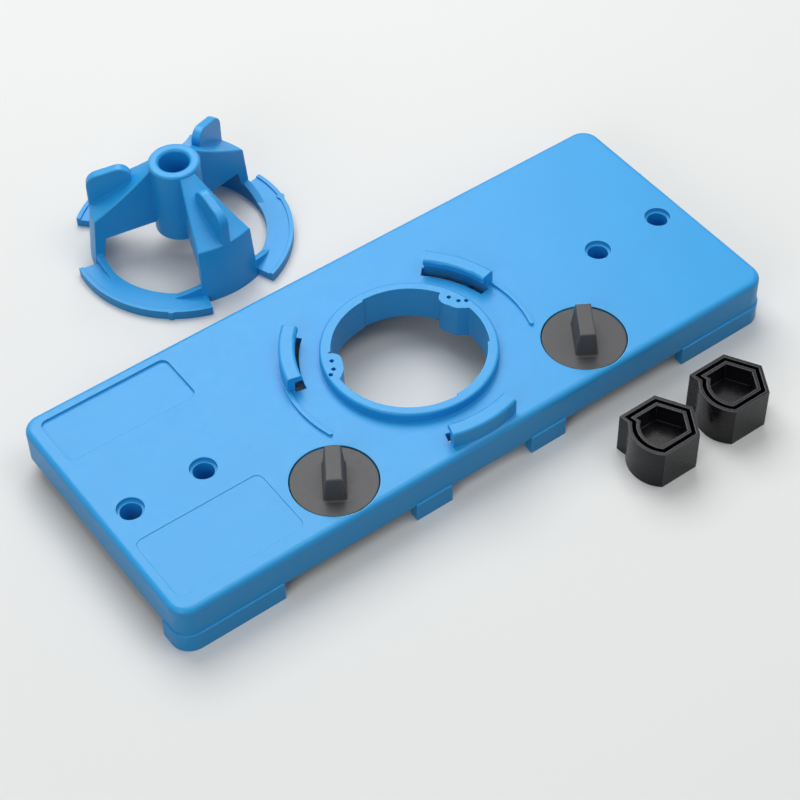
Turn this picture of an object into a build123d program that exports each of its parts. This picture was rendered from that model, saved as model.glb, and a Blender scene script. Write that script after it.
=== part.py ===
from build123d import *
import os
from math import cos, radians, sin, sqrt

os.makedirs("parts", exist_ok=True)

# Drilling jig for cup hinges, in millimetres. A moulded base plate lies on a cabinet door with
# its open collar over the place of the hinge cup. Two knobs turn in the plate and carry a
# stepped plug each; a cam slips over each plug and meets the door's edge. A three-legged drill
# guide turns under three clips round the collar and leads the cutter's shank.
# The knobs sit in the plate. The guide and the cams are taken off and stand beside it.
# Origin: the collar's axis at the level the feet stand on. X runs along the plate, Y towards
# its back edge and Z up.

# Base plate
plate_length = 222.0
plate_front = 41.8            # from the collar's axis to the front edge
plate_back = 48.6             # from the collar's axis to the back edge
deck_top = 18.3               # the plate's top face above the feet
skirt_height = 11.9           # side wall below the top face
deck_thickness = 3.0
skirt_wall = 2.4
corner_radius = 6.0
top_rounding = 2.0
rib_thickness = 1.8
rib_pitch_x = 18.6
rib_pitch_y = 15.4

# Feet: lips under the front and back edges, with gaps where the cams swing
foot_wall = 3.2
foot_proud = 0.5              # the lips stand this far outside the skirt
foot_lap = 0.6                # and reach this far up over it
foot_outer_gap = (28.5, 76.2)  # gap beside each knob, measured from the collar's axis
foot_middle_gap = 15.3        # half the gap in front of the collar
foot_corner_wrap = 10.0       # length of the front lips round onto the short sides

# Collar for the hinge cup
cup_radius = 24.9
collar_wall = 2.9
collar_rise = 3.5
collar_depth = 9.0            # below the top face
collar_rounding = 0.8
lead_step = 0.6               # the wall is thicker by this on two spans of its bore
lead_starts = (90, 270)
lead_span = 58.0
pilot_hole_radius = 0.7
pilot_boss_radius = 3.2
pilot_holes = ((22.5, 9.5), (24.0, 6.4), (26.0, 5.0))  # three hinge screw patterns, half spacings

# Bayonet clips round the collar
clip_azimuths = (29.5, 149.5, 269.5)
clip_span = 34.0
clip_inner = 35.2
clip_wall_inner = 37.7
clip_outer = 40.3
clip_height = 5.9
clip_lip = 2.2
clip_rounding = 1.0
slot_inner = 34.2
slot_lead = 0.8               # the slot under a clip runs this many degrees past its end
arc_rib_outer = 40.8
arc_rib_width = 1.3
arc_rib_height = 0.9
arc_rib_span = 31.0
arc_rib_lap = 3.0             # the rib starts this many degrees inside the clip's wall

# Screw holes, in two pairs along the plate
screw_hole_radius = 3.35
screw_head_radius = 4.25
screw_head_depth = 1.45
screw_boss_radius = 5.8
screw_hole_x = (75.75, 101.0)

# Sunk panels on the left end: centre x, centre y, length, width, depth
panels = ((-83.7, 35.1, 44.8, 19.0, 0.8), (-85.3, -23.6, 43.4, 24.6, 0.2))
panel_corner = 2.5

# Knobs
knob_x = 47.5
knob_y = -27.15
knob_radius = 13.3
knob_sunk = 0.3               # its face lies this far below the deck
knob_disc = 2.8
knob_side_gap = 0.3
knob_seat_gap = 0.2
seat_floor = 2.4
seat_wall = 2.4
journal_radius = 9.15
journal_fit = 0.05            # running clearance of the journal in its seat
grip_azimuth = 57.0
grip_length = 15.2
grip_width = 6.8
grip_height = 8.6
grip_taper = 6.2
grip_corner = 1.0
grip_rounding = 0.5
grip_foot_rounding = 0.6
knob_edge_rounding = 0.3
plug_lift = 0.3               # the plug ends this far above the feet

# Cams: a stepped spiral, each flat one step nearer to the axis than the one before it
cam_height = 15.0
cam_first_flat = 11.6
cam_step = 1.0
cam_flat_turn = 60.0
cam_arc = 11.3
cam_tip_x = -8.45             # the long first flat ends in a sharp tip here
cam_heel_azimuth = 135.4      # where the arc ends below the tip
cam_wall = 1.1
cam_groove = 1.3
cam_groove_depth = 12.0
socket_depth = 6.6
socket_floor = 2.0
plug_clearance = 0.2
plug_corner_rounding = 0.4
cam_places = ((45.75, -68.05), (73.95, -68.05))

# Drill guide
guide_x = -19.6
guide_y = 102.1
hub_top = 35.7
hub_bottom = 7.5
hub_radius = 8.6
hub_rounding = 1.0
hub_foot_chamfer = 0.5
shank_radius = 5.05
shank_mouth_rounding = 1.3
ring_inner = 28.3
ring_outer = 37.3
ring_thickness = 2.8
bead_width = 1.4
bead_rise = 0.6
leg_azimuths = (30.0, 150.0, 270.0)
leg_span = 40.0
leg_inner = 26.6              # the inner face at the arch
leg_foot_inner = 28.7         # and at the foot, where it clears the collar
leg_outer = 31.4
leg_draft = 1.9               # the outer face leans in by this towards its top
leg_shoulder = 20.8           # height of the leg's outer top edge
leg_soffit = 12.0             # height of the arch under the arm
leg_rounding = 0.6
roof_drop = 0.3               # the roof of an arm starts this far below the hub's top
roof_crown = 0.7              # and bulges by this on its way down to the leg
flange_turn = 60.0            # each flange's middle lies this far on from a leg
flange_start = 39.6           # and it starts this far before there
flange_end = 42.7             # and ends this far past it
ramp_outer = 30.7             # low wall on the ring that ramps up to each leg
ramp_height = 6.3
ramp_run = 7.5
fin_thickness = 3.2
fin_inner = 14.4
fin_set_in = 0.05             # the fin's outer end lies this far inside the leg's top edge
fin_inner_top = 36.5          # height of the ridge's corners before they are rounded
fin_outer_top = 31.9
fin_inner_round = 4.0
fin_outer_round = 5.0
fin_edge_rounding = 0.5
fin_sweep = 18.0              # turn of the swept profile that a fin is cut from
bump_turn = 21.7              # clicks on the flange's rim, measured on from its middle
bump_radius = 1.3
bump_rise = 0.6

plate_width = plate_front + plate_back
plate_mid_y = (plate_back - plate_front) / 2
skirt_bottom = deck_top - skirt_height
deck_under = deck_top - deck_thickness
deck_middle = deck_top - deck_thickness / 2
collar_outer = cup_radius + collar_wall
collar_bottom = deck_top - collar_depth
collar_rim = deck_top + collar_rise
clip_top = deck_top + clip_height
knob_places = ((-knob_x, knob_y), (knob_x, knob_y))
knob_face = deck_top - knob_sunk
knob_under = knob_face - knob_disc
seat_face = knob_under - knob_seat_gap
seat_radius = knob_radius + knob_side_gap
seat_bore = journal_radius + journal_fit
seat_under = seat_face - seat_floor
cam_socket_offset = cam_wall + cam_groove + cam_wall
gap_inner, gap_outer = foot_outer_gap
gap_middle = (gap_inner + gap_outer) / 2
plate_half = plate_length / 2
side_open_y = foot_corner_wrap + plate_mid_y
leg_top_outer = leg_outer - leg_draft
hub_core = hub_radius - hub_rounding
flange_azimuths = [azimuth + flange_turn for azimuth in leg_azimuths]


def rounded_plate(grow=0.0, mode=Mode.ADD):
    """Draws the plate's outline, grown by a margin."""
    with Locations((0, plate_mid_y)):
        RectangleRounded(plate_length + 2 * grow, plate_width + 2 * grow, corner_radius + grow,
                         mode=mode)


def ring_sector(inner, outer, start, end, mode=Mode.ADD):
    """Adds a sector of a ring to the sketch being drawn."""
    with BuildLine() as outline:
        inner_arc = CenterArc((0, 0), inner, start, end - start)
        outer_arc = CenterArc((0, 0), outer, start, end - start)
        Line(inner_arc @ 0, outer_arc @ 0)
        Line(inner_arc @ 1, outer_arc @ 1)
    make_face(outline.edges(), mode=mode)


def rib_lines(low, high, pitch):
    """Places of the ribs between two walls, spaced evenly out from the collar's axis."""
    first = int((low + pitch / 3) / pitch)
    last = int((high - pitch / 3) / pitch)
    return [i * pitch for i in range(first, last + 1)]


def upright_plane(azimuth, x=0.0, y=0.0):
    """A vertical plane through an upright axis: its X points out along the azimuth, its Y up."""
    outward = (cos(radians(azimuth)), sin(radians(azimuth)), 0)
    sideways = (sin(radians(azimuth)), -cos(radians(azimuth)), 0)
    return Plane(origin=(x, y, 0), x_dir=outward, z_dir=sideways)


def draw_cam_outline(inset, mode=Mode.ADD):
    """Draws the cam's stepped spiral round its axis, with every wall moved in by the inset."""
    flats = [cam_first_flat - i * cam_step - inset for i in range(4)]
    turns = [radians(90 - i * cam_flat_turn) for i in range(4)]
    corners = []
    for near, far, a, b in zip(flats, flats[1:], turns, turns[1:]):
        # Two flats with unit normals at a and b meet where both distances hold
        x = (near * sin(b) - far * sin(a)) / sin(b - a)
        y = (far * cos(a) - near * cos(b)) / sin(b - a)
        corners.append((x, y))
    arc = cam_arc - inset
    last_flat = flats[-1]
    heel_x = cam_arc * cos(radians(cam_heel_azimuth)) + inset
    heel_y = sqrt(arc ** 2 - heel_x ** 2)
    tip = (cam_tip_x + inset, flats[0])
    with BuildLine() as outline:
        Polyline(tip, *corners, (-sqrt(arc ** 2 - last_flat ** 2), -last_flat))
        ThreePointArc((-sqrt(arc ** 2 - last_flat ** 2), -last_flat), (-arc, 0), (heel_x, heel_y))
        Line((heel_x, heel_y), tip)
    make_face(outline.edges(), mode=mode)


def make_base_plate():
    with BuildPart() as plate:
        with BuildSketch(Plane.XY.offset(skirt_bottom)):
            rounded_plate()
        extrude(amount=skirt_height)
        fillet(plate.faces().sort_by(Axis.Z)[-1].edges(), top_rounding)

        # Hollow underside, with a boss left at each screw hole and a tube under each knob
        with BuildSketch(Plane.XY.offset(skirt_bottom)):
            rounded_plate(-skirt_wall)
            Circle(collar_outer, mode=Mode.SUBTRACT)
            with Locations(*[(side * x, 0) for side in (-1, 1) for x in screw_hole_x]):
                Circle(screw_boss_radius, mode=Mode.SUBTRACT)
            with Locations(*knob_places):
                Circle(seat_bore + seat_wall, mode=Mode.SUBTRACT)
        extrude(amount=deck_under - skirt_bottom, mode=Mode.SUBTRACT)

        # Crossing ribs under the deck, as deep as the knobs' seats
        with BuildSketch(Plane.XY.offset(seat_under)):
            with Locations(*[(x, plate_mid_y) for x in rib_lines(-plate_half, plate_half, rib_pitch_x)]):
                Rectangle(rib_thickness, plate_width)
            with Locations(*[(0, y) for y in rib_lines(-plate_front, plate_back, rib_pitch_y)]):
                Rectangle(plate_length, rib_thickness)
            with Locations(*knob_places):
                Circle(seat_radius + seat_wall)
            rounded_plate(-skirt_wall / 2, Mode.INTERSECT)
        extrude(amount=deck_middle - seat_under)

        # Feet: a frame under the skirt, opened beside the knobs, at the middle and at the sides
        with BuildSketch(Plane.XY):
            rounded_plate(foot_proud)
            with Locations((0, plate_mid_y)):
                Rectangle(plate_length + 2 * (foot_proud - foot_wall),
                          plate_width + 2 * (foot_proud - foot_wall), mode=Mode.SUBTRACT)
                Rectangle(2 * foot_middle_gap, 2 * plate_width, mode=Mode.SUBTRACT)
            with Locations((-gap_middle, plate_mid_y), (gap_middle, plate_mid_y)):
                Rectangle(gap_outer - gap_inner, 2 * plate_width, mode=Mode.SUBTRACT)
            with Locations((-plate_half, side_open_y), (plate_half, side_open_y)):
                Rectangle(2 * corner_radius + 2 * foot_proud, plate_width, mode=Mode.SUBTRACT)
        extrude(amount=skirt_bottom + foot_lap)

        # Collar: a short tube, with the two bosses and the lead steps left standing in its bore
        with BuildSketch(Plane.XY.offset(skirt_bottom)):
            Circle(collar_outer)
        extrude(amount=collar_bottom - skirt_bottom, mode=Mode.SUBTRACT)
        with BuildSketch(Plane.XY.offset(deck_under)):
            Circle(collar_outer)
        extrude(amount=collar_rim - deck_under)
        fillet(plate.faces().sort_by(Axis.Z)[-1].edges(), collar_rounding)
        with BuildSketch(Plane.XY.offset(collar_bottom)):
            Circle(cup_radius)
            for side in (-1, 1):
                with BuildSketch(mode=Mode.PRIVATE) as boss:
                    with Locations(*[(side * x, y) for x, y in pilot_holes]):
                        Circle(pilot_boss_radius)
                    make_hull()
                add(boss.sketch, mode=Mode.SUBTRACT)
            for start in lead_starts:
                ring_sector(cup_radius - lead_step, collar_outer, start, start + lead_span,
                            Mode.SUBTRACT)
        extrude(amount=collar_rim - collar_bottom, mode=Mode.SUBTRACT)
        with Locations(*[(side * x, y, collar_rim) for side in (-1, 1) for x, y in pilot_holes]):
            Hole(pilot_hole_radius)

        # Bayonet clips, each an arc wall with a lip over a slot through the deck
        for azimuth in clip_azimuths:
            start = azimuth - clip_span / 2
            end = azimuth + clip_span / 2
            with BuildSketch(upright_plane(start)) as profile:
                with BuildLine():
                    Polyline((clip_wall_inner, deck_under), (clip_outer, deck_under),
                             (clip_outer, clip_top), (clip_inner, clip_top),
                             (clip_inner, clip_top - clip_lip),
                             (clip_wall_inner, clip_top - clip_lip), close=True)
                make_face()
                fillet(profile.vertices().group_by(Axis.Y)[-1], clip_rounding)
            revolve(axis=Axis.Z, revolution_arc=clip_span)
            with BuildSketch(Plane.XY.offset(deck_under)):
                ring_sector(slot_inner, clip_wall_inner, start - slot_lead, end + slot_lead)
            extrude(amount=deck_thickness, mode=Mode.SUBTRACT)

        # Low arc ribs that run on from the two rear clips, round towards the front
        right_end = clip_azimuths[0] - clip_span / 2
        left_end = clip_azimuths[1] + clip_span / 2
        for lap, tip in ((right_end + arc_rib_lap, right_end - arc_rib_span),
                         (left_end - arc_rib_lap, left_end + arc_rib_span)):
            with BuildSketch(Plane.XY.offset(deck_top)):
                ring_sector(arc_rib_outer - arc_rib_width, arc_rib_outer, lap, tip)
                with PolarLocations(arc_rib_outer - arc_rib_width / 2, 1, tip):
                    Circle(arc_rib_width / 2)
            extrude(amount=arc_rib_height)

        # Screw holes with sunk heads
        with Locations(*[(side * x, 0, deck_top) for side in (-1, 1) for x in screw_hole_x]):
            CounterBoreHole(screw_hole_radius, screw_head_radius, screw_head_depth)

        # Seats for the knobs
        with BuildSketch(Plane.XY.offset(deck_top)):
            with Locations(*knob_places):
                Circle(seat_radius)
        extrude(amount=seat_face - deck_top, mode=Mode.SUBTRACT)
        with BuildSketch(Plane.XY.offset(deck_top)):
            with Locations(*knob_places):
                Circle(seat_bore)
        extrude(amount=-deck_top, mode=Mode.SUBTRACT)

        # Sunk panels
        for x, y, length, width, depth in panels:
            with BuildSketch(Plane.XY.offset(deck_top)):
                with Locations((x, y)):
                    RectangleRounded(length, width, panel_corner)
            extrude(amount=-depth, mode=Mode.SUBTRACT)
    return plate


def make_knob(x, y):
    """A turn knob: a flush disc with a grip, a round journal and a stepped plug below it."""
    with BuildPart() as knob:
        with BuildSketch(Plane(origin=(x, y, plug_lift))):
            draw_cam_outline(cam_socket_offset + plug_clearance)
        extrude(amount=skirt_bottom - plug_lift)
        fillet(knob.edges().filter_by(Axis.Z), plug_corner_rounding)
        with BuildSketch(Plane(origin=(x, y, skirt_bottom))):
            Circle(journal_radius)
        extrude(amount=knob_under - skirt_bottom)
        with BuildSketch(Plane(origin=(x, y, knob_under))):
            Circle(knob_radius)
        extrude(amount=knob_disc)
        with BuildSketch(Plane(origin=(x, y, knob_face), x_dir=upright_plane(grip_azimuth).x_dir)):
            RectangleRounded(grip_length, grip_width, grip_corner)
        extrude(amount=grip_height, taper=grip_taper)
        fillet(knob.faces().sort_by(Axis.Z)[-1].edges(), grip_rounding)

        # The longest edge at the face's level is the disc's own, the others are the grip's foot
        face_edges = knob.edges().filter_by_position(Axis.Z, knob_face, knob_face)
        face_edges = face_edges.sort_by(SortBy.LENGTH)
        fillet(face_edges[:-1], grip_foot_rounding)
        disc_edges = knob.edges().filter_by_position(Axis.Z, knob_face, knob_face)
        fillet(disc_edges.sort_by(SortBy.LENGTH)[-1], knob_edge_rounding)
    return knob


def make_cam(x, y):
    """A double-walled spiral cam with a blind socket for the knob's plug."""
    with BuildPart() as cam:
        with BuildSketch(Plane(origin=(x, y, 0))):
            draw_cam_outline(0)
        extrude(amount=cam_height)
        with BuildSketch(Plane(origin=(x, y, cam_height))):
            draw_cam_outline(cam_wall)
            draw_cam_outline(cam_wall + cam_groove, Mode.SUBTRACT)
        extrude(amount=-cam_groove_depth, mode=Mode.SUBTRACT)
        with BuildSketch(Plane(origin=(x, y, cam_height))):
            draw_cam_outline(cam_socket_offset)
        extrude(amount=-socket_depth, mode=Mode.SUBTRACT)
        with BuildSketch(Plane(origin=(x, y, 0))):
            draw_cam_outline(cam_socket_offset)
        extrude(amount=cam_height - socket_depth - socket_floor, mode=Mode.SUBTRACT)
    return cam


def make_leg(azimuth):
    """A leg of the guide: post, arch and roof in one profile, swept round by the leg's span."""
    axis = Axis((guide_x, guide_y, 0), (0, 0, 1))
    roof_foot = (leg_top_outer, leg_shoulder)
    roof_head = (hub_core, hub_top - roof_drop)
    with BuildPart() as leg:
        with BuildSketch(upright_plane(azimuth - leg_span / 2, guide_x, guide_y)):
            with BuildLine():
                Polyline(roof_head, (hub_core, leg_soffit), (leg_inner, leg_soffit),
                         (leg_foot_inner, 0), (leg_outer, 0), roof_foot)
                SagittaArc(roof_foot, roof_head, roof_crown)
            make_face()
        revolve(axis=axis, revolution_arc=leg_span)
        roof = leg.faces().sort_by(Axis.Z)[-1]
        fillet(roof.edges(), leg_rounding)
    return leg.part


def make_fin(azimuth):
    """A thumb fin: a profile swept round the guide's axis and cut down to a plate."""
    axis = Axis((guide_x, guide_y, 0), (0, 0, 1))
    fin_outer = leg_top_outer - fin_set_in
    with BuildPart() as fin:
        with BuildSketch(upright_plane(azimuth - fin_sweep / 2, guide_x, guide_y)):
            with BuildLine():
                FilletPolyline((fin_inner, leg_shoulder), (fin_inner, fin_inner_top),
                               (fin_outer, fin_outer_top), (fin_outer, leg_soffit),
                               radius=[fin_inner_round, fin_outer_round])
                Line((fin_outer, leg_soffit), (fin_inner, leg_shoulder))
            make_face()
        revolve(axis=axis, revolution_arc=fin_sweep)
        with BuildSketch(upright_plane(azimuth, guide_x, guide_y)):
            with Locations((leg_outer / 2, hub_top / 2)):
                Rectangle(2 * leg_outer, 2 * hub_top)
        extrude(amount=fin_thickness / 2, both=True, mode=Mode.INTERSECT)
        fillet(fin.edges().filter_by_position(Axis.Z, leg_shoulder, hub_top), fin_edge_rounding)
    return fin.part


def make_drill_guide():
    """A hub for the shank on three arms, over a ring with three flanges for the clips."""
    floor = Plane(origin=(guide_x, guide_y, 0))
    legs = [make_leg(azimuth) for azimuth in leg_azimuths]
    fins = [make_fin(azimuth) for azimuth in leg_azimuths]
    with BuildPart() as guide:
        # Ring with a low wall on it, cut away between the legs to leave a ramp beside each leg
        with BuildSketch(floor):
            Circle(ramp_outer)
            Circle(ring_inner, mode=Mode.SUBTRACT)
        extrude(amount=ramp_height)
        for azimuth in flange_azimuths:
            outward = upright_plane(azimuth).x_dir
            across = upright_plane(azimuth).z_dir
            gap_turn = radians(flange_turn - leg_span / 2)
            gap_half = (ring_inner + ramp_outer) / 2 * sin(gap_turn)
            with BuildSketch(Plane(origin=floor.origin, x_dir=-across, z_dir=outward)):
                with BuildLine():
                    Polyline((ramp_run - gap_half, ring_thickness),
                             (gap_half - ramp_run, ring_thickness),
                             (gap_half, ramp_height), (-gap_half, ramp_height), close=True)
                make_face()
            extrude(amount=ring_outer, mode=Mode.SUBTRACT)

        # A flange with a raised rim and a click between each pair of legs
        for azimuth in flange_azimuths:
            start = azimuth - flange_start
            end = azimuth + flange_end
            bump_azimuth = azimuth + bump_turn
            with BuildSketch(floor):
                ring_sector(ring_inner, ring_outer, start, end)
                with PolarLocations(ring_outer + bump_rise - bump_radius, 1, bump_azimuth):
                    Circle(bump_radius)
            extrude(amount=ring_thickness)
            with BuildSketch(floor.offset(ring_thickness)):
                ring_sector(ring_outer - bead_width, ring_outer, start, end)
                with PolarLocations(ring_outer + bump_rise - bump_radius, 1, bump_azimuth):
                    Circle(bump_radius)
            extrude(amount=bead_rise)

        # Legs with their arms, and the hub
        add(legs)
        with BuildSketch(floor.offset(hub_bottom)):
            Circle(hub_radius)
        extrude(amount=hub_top - hub_bottom)
        fillet(guide.faces().sort_by(Axis.Z)[-1].edges(), hub_rounding)
        add(fins)

        # Bore for the shank, with a rounded mouth
        with BuildSketch(floor.offset(hub_bottom)):
            Circle(shank_radius)
        extrude(amount=hub_top - hub_bottom, mode=Mode.SUBTRACT)
        mouth = guide.faces().sort_by(Axis.Z)[-1].edges().sort_by(SortBy.LENGTH)[0]
        fillet(mouth, shank_mouth_rounding)
        chamfer(guide.edges().filter_by_position(Axis.Z, hub_bottom, hub_bottom), hub_foot_chamfer)
    return guide


base_plate = make_base_plate()
base_plate.part.label = "base_plate"
export_step(base_plate.part, "parts/base_plate.step")

left_knob = make_knob(*knob_places[0])
left_knob.part.label = "left_knob"
export_step(left_knob.part, "parts/left_knob.step")

right_knob = make_knob(*knob_places[1])
right_knob.part.label = "right_knob"
export_step(right_knob.part, "parts/right_knob.step")

left_cam = make_cam(*cam_places[0])
left_cam.part.label = "left_cam"
export_step(left_cam.part, "parts/left_cam.step")

right_cam = make_cam(*cam_places[1])
right_cam.part.label = "right_cam"
export_step(right_cam.part, "parts/right_cam.step")

drill_guide = make_drill_guide()
drill_guide.part.label = "drill_guide"
export_step(drill_guide.part, "parts/drill_guide.step")
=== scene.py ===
from math import radians

import bpy
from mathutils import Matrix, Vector

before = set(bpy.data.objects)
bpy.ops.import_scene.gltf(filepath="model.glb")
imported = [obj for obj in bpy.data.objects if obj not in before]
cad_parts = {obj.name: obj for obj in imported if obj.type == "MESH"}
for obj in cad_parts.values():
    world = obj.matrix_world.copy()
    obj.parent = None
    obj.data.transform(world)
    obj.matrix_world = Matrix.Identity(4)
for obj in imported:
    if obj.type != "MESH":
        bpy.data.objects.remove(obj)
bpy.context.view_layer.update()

# A moulded hinge drilling jig: the finishes of its plastics, a studio round it and the camera.
# Lengths are in metres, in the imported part's own frame.

# Camera, from a perspective fit to the plate's corners and holes
camera_place = (-0.25963, -0.36071, 0.50263)
camera_turn = (41.302, 0.876, -36.327)     # degrees about X, Y and Z
lens_mm = 95.68
sensor_mm = 36.0
nearest_seen = 0.01
farthest_seen = 20.0

# Colours, linear
blue = (0.013, 0.315, 0.70)
# Painted highlight: a paler blue laid along the blue parts' convex edges
blue_painted_highlight = (0.08, 0.46, 0.82)
charcoal = (0.062, 0.062, 0.065)
# Painted highlight: a paler grey laid along the knobs' convex edges
charcoal_painted_highlight = (0.17, 0.17, 0.175)
black = (0.004, 0.004, 0.006)
# Painted highlight: a paler grey laid along the cams' convex edges and rims
black_painted_highlight = (0.085, 0.085, 0.09)
floor_seen = (0.76, 0.76, 0.745)
floor_bounce = (0.16, 0.16, 0.16)
sky_seen = (0.80, 0.80, 0.79)
sky_light = (0.90, 0.95, 1.0)

# Finishes
grain_size = 0.00035          # one grain of the moulded surface
grain_depth = 0.00004
grain_strength = 0.35
flow_size = 0.018             # one patch of the slow change in tone across a moulding
mottle_size = 0.0022          # one patch of the finer change in gloss
mottle_range = 0.09           # how far the roughness strays to either side
edge_radius = 0.0004
edge_bend = 0.06              # how far a normal bends before an edge gets the painted highlight
corner_reach = 0.0015         # an inner corner within this gets no painted highlight
corner_fade = (0.7, 0.95)     # how open to the air an edge is where the painted highlight starts and is full
edge_samples = 8

# Studio
middle = (0.0, 0.02, 0.01)
floor_half = 4.0
floor_fade = (0.35, 0.95)     # where the floor starts and ends its fade into the surround
floor_roughness = 0.8
floor_shine = 0.1
sky_strength = 0.32
lamps = (                     # name, place, size and watts of each softbox
    ("key", (0.16, 0.52, 0.85), 0.8, 7.7),
    ("top", (0.35, -0.3, 1.0), 0.6, 2.5),
    ("fill", (-0.8, -0.4, 0.5), 0.5, 2.2),
)


class Tree:
    """A material's or world's nodes, with short ways to add and link them."""

    def __init__(self, owner):
        owner.use_nodes = True
        self.nodes = owner.node_tree.nodes
        self.link = owner.node_tree.links.new

    def add(self, kind, **settings):
        node = self.nodes.new(kind)
        for name, value in settings.items():
            setattr(node, name, value)
        return node

    def math(self, operation, first, second):
        """Puts two numbers together."""
        node = self.add("ShaderNodeMath", operation=operation)
        self.link(first, node.inputs[0])
        self.link(second, node.inputs[1])
        return node.outputs["Value"]

    def noise(self, size, detail):
        """Noise in the object's own coordinates, so that it moves with the object."""
        place = self.add("ShaderNodeTexCoord")
        noise = self.add("ShaderNodeTexNoise")
        noise.inputs["Scale"].default_value = 1 / size
        noise.inputs["Detail"].default_value = detail
        self.link(place.outputs["Object"], noise.inputs["Vector"])
        return noise.outputs["Fac"]

    def spread(self, factor, low, high):
        """Turns a factor into a number between two limits."""
        spread = self.add("ShaderNodeMapRange")
        spread.inputs["To Min"].default_value = low
        spread.inputs["To Max"].default_value = high
        self.link(factor, spread.inputs["Value"])
        return spread.outputs["Result"]

    def blend(self, factor, low, high):
        """Turns a factor into a colour between two others, each a colour or a node's output."""
        mix = self.add("ShaderNodeMix", data_type="RGBA")
        ends = [socket for socket in mix.inputs if socket.type == "RGBA"]
        for socket, colour in zip(ends, (low, high)):
            if isinstance(colour, bpy.types.NodeSocket):
                self.link(colour, socket)
            else:
                socket.default_value = (*colour, 1)
        self.link(factor, mix.inputs["Factor"])
        return [socket for socket in mix.outputs if socket.type == "RGBA"][0]

    def step(self, factor, start, end):
        """Turns a number into nought at the start, one at the end, and a ramp between them."""
        step = self.add("ShaderNodeMapRange")
        step.inputs["From Min"].default_value = start
        step.inputs["From Max"].default_value = end
        self.link(factor, step.inputs["Value"])
        return step.outputs["Result"]

    def painted_edge_highlight(self, soft_normal):
        """One along the outer edges, where the softened normal leaves the surface's own: the mask
        of a painted highlight.
        """
        surface = self.add("ShaderNodeNewGeometry")
        facing = self.add("ShaderNodeVectorMath", operation="DOT_PRODUCT")
        self.link(surface.outputs["Normal"], facing.inputs[0])
        self.link(soft_normal, facing.inputs[1])
        open_air = self.add("ShaderNodeAmbientOcclusion", samples=edge_samples, only_local=True)
        open_air.inputs["Distance"].default_value = corner_reach
        bent = self.step(facing.outputs["Value"], 1.0, 1 - edge_bend)
        return self.math("MULTIPLY", bent, self.step(open_air.outputs["AO"], *corner_fade))

    def seen(self):
        """One where the camera, a reflection or glass looks, and nought for a bounce of light."""
        path = self.add("ShaderNodeLightPath")
        total = path.outputs["Is Camera Ray"]
        for ray in ("Is Glossy Ray", "Is Transmission Ray"):
            total = self.math("MAXIMUM", total, path.outputs[ray])
        return total


def moulded_plastic(name, colour, highlight_colour, roughness, specular, tone):
    """A moulded plastic: fine grain, slow changes in tone and gloss, and a paler highlight painted
    along the edges.
    """
    material = bpy.data.materials.new(name)
    tree = Tree(material)
    shader = tree.nodes["Principled BSDF"]
    shader.inputs["Specular IOR Level"].default_value = specular

    edges = tree.add("ShaderNodeBevel", samples=edge_samples)
    edges.inputs["Radius"].default_value = edge_radius
    soft_normal = edges.outputs["Normal"]
    dark = [c * (1 - tone) for c in colour]
    light = [c * (1 + tone) for c in colour]
    body = tree.blend(tree.noise(flow_size, 3.0), dark, light)
    # Convex edges get a paler colour: a painted highlight along them
    tree.link(tree.blend(tree.painted_edge_highlight(soft_normal), body, highlight_colour), shader.inputs["Base Color"])

    gloss = tree.spread(tree.noise(mottle_size, 4.0),
                        roughness - mottle_range, roughness + mottle_range)
    tree.link(gloss, shader.inputs["Roughness"])

    bump = tree.add("ShaderNodeBump")
    bump.inputs["Strength"].default_value = grain_strength
    bump.inputs["Distance"].default_value = grain_depth
    tree.link(tree.noise(grain_size, 2.0), bump.inputs["Height"])
    tree.link(soft_normal, bump.inputs["Normal"])
    tree.link(bump.outputs["Normal"], shader.inputs["Normal"])
    return material


def dress(material, *names):
    """Gives CAD nodes their finish."""
    for name in names:
        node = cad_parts[name]
        node.data.materials.clear()
        node.data.materials.append(material)


def add_object(name, data):
    thing = bpy.data.objects.new(name, data)
    bpy.context.scene.collection.objects.link(thing)
    return thing


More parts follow.
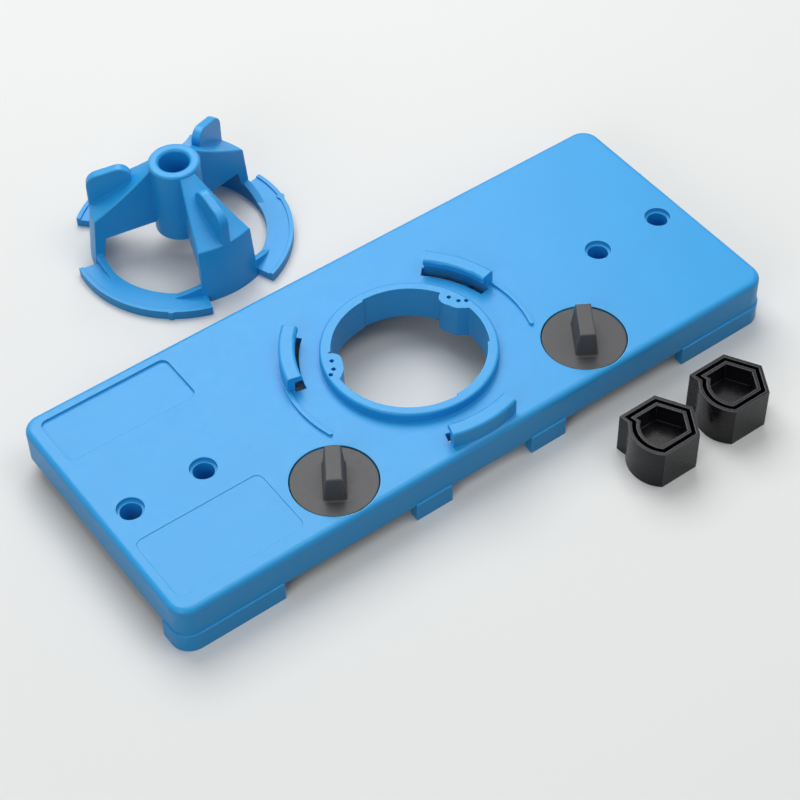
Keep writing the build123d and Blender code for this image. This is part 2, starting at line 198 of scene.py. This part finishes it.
def make_floor():
    """A plain pale floor at the level that the jig stands on."""
    signs = ((-1, -1), (1, -1), (1, 1), (-1, 1))
    mesh = bpy.data.meshes.new("floor")
    mesh.from_pydata([(x * floor_half, y * floor_half, 0) for x, y in signs], [], [(0, 1, 2, 3)])
    material = bpy.data.materials.new("floor")
    tree = Tree(material)
    shader = tree.nodes["Principled BSDF"]
    shader.inputs["Roughness"].default_value = floor_roughness
    shader.inputs["Specular IOR Level"].default_value = floor_shine
    seen = tree.seen()
    tree.link(tree.blend(seen, floor_bounce, floor_seen), shader.inputs["Base Color"])

    # Far from the object the floor runs over into the surround's own colour
    place = tree.add("ShaderNodeTexCoord")
    distance = tree.add("ShaderNodeVectorMath", operation="LENGTH")
    tree.link(place.outputs["Object"], distance.inputs[0])
    far = tree.step(distance.outputs["Value"], *floor_fade)
    haze = tree.add("ShaderNodeEmission")
    haze.inputs["Color"].default_value = (*sky_seen, 1)
    fade = tree.add("ShaderNodeMixShader")
    tree.link(tree.math("MULTIPLY", far, seen), fade.inputs["Fac"])
    tree.link(shader.outputs["BSDF"], fade.inputs[1])
    tree.link(haze.outputs["Emission"], fade.inputs[2])
    tree.link(fade.outputs["Shader"], tree.nodes["Material Output"].inputs["Surface"])
    mesh.materials.append(material)
    add_object("floor", mesh)


def make_sky(strength):
    """A pale surround, which lights the object softly from all sides."""
    world = bpy.data.worlds.new("studio")
    bpy.context.scene.world = world
    tree = Tree(world)
    background = tree.nodes["Background"]
    seen = tree.seen()
    tree.link(tree.blend(seen, sky_light, sky_seen), background.inputs["Color"])
    tree.link(tree.spread(seen, strength, 1.0), background.inputs["Strength"])


def soft_light(name, place, size, watts):
    """A square softbox aimed at the middle of the object."""
    lamp = bpy.data.lights.new(name, "AREA")
    lamp.size = size
    lamp.energy = watts
    light = add_object(name, lamp)
    light.location = place
    light.rotation_euler = (Vector(middle) - Vector(place)).to_track_quat("-Z", "Y").to_euler()


def make_camera():
    lens = bpy.data.cameras.new("camera")
    lens.lens = lens_mm
    lens.sensor_width = sensor_mm
    lens.clip_start = nearest_seen
    lens.clip_end = farthest_seen
    camera = add_object("camera", lens)
    camera.location = camera_place
    camera.rotation_euler = [radians(angle) for angle in camera_turn]
    bpy.context.scene.camera = camera


bpy.context.scene.view_settings.view_transform = "Standard"
make_camera()
make_floor()
make_sky(sky_strength)
for lamp in lamps:
    soft_light(*lamp)

blue_plastic = moulded_plastic("blue_plastic", blue, blue_painted_highlight,
                               roughness=0.38, specular=0.45, tone=0.045)
grey_plastic = moulded_plastic("grey_plastic", charcoal, charcoal_painted_highlight,
                               roughness=0.44, specular=0.34, tone=0.05)
black_plastic = moulded_plastic("black_plastic", black, black_painted_highlight,
                                roughness=0.26, specular=0.28, tone=0.06)
dress(blue_plastic, "base_plate", "drill_guide")
dress(grey_plastic, "left_knob", "right_knob")
dress(black_plastic, "left_cam", "right_cam")
